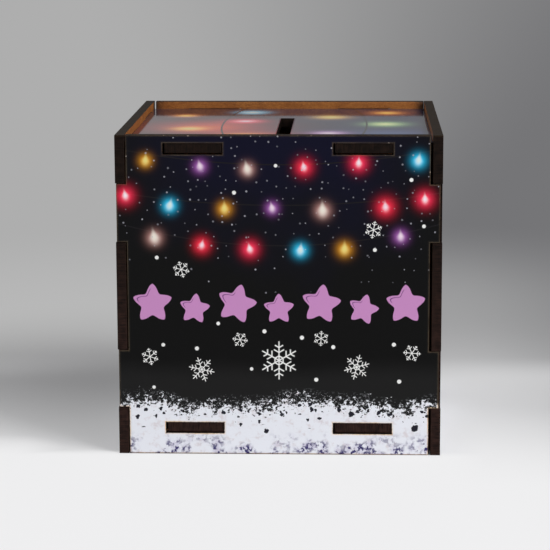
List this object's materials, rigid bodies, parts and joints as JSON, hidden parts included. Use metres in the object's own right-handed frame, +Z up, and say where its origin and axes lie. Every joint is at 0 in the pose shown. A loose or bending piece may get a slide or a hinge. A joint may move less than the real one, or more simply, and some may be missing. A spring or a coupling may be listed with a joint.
{
  "type": "money box",
  "caption": "Cube-shaped laser-cut hardboard money box with interlocking tabbed walls, a sunk printed top with a coin slot, and a swivelling cover over the emptying hole underneath.",
  "frame": {"origin": "middle of the base, on the surface that the box stands on", "axes": "+Z up, -Y out of the printed front wall, +X to the right of someone facing the front"},
  "size_m": [0.1, 0.1, 0.1],
  "materials": {
    "printed_board": "3 mm hardboard, glossy dark festive print outside, bare brown inside, charred laser-cut edges",
    "raw_board": "3 mm hardboard, bare brown faces, charred laser-cut edges",
    "zinc_steel": "bright zinc plate",
    "nylon": "natural nylon"
  },
  "bodies": {
    "box": {"front_wall": "printed_board", "back_wall": "printed_board", "left_wall": "printed_board", "right_wall": "printed_board", "top_panel": "printed_board", "floor_panel": "raw_board", "pivot_screw": "zinc_steel", "cover_washer": "zinc_steel", "floor_washer": "zinc_steel", "lock_nut": "zinc_steel", "lock_nut_insert": "nylon"},
    "hatch": {"hatch_cover": "raw_board"}
  },
  "joints": [
    {"name": "hatch_swivel", "type": "hinge", "parent": "box", "child": "hatch", "pos_m": [-0.021, -0.021, 0.0055], "axis": [0, 0, 1], "range_deg": [0, 90]}
  ]
}
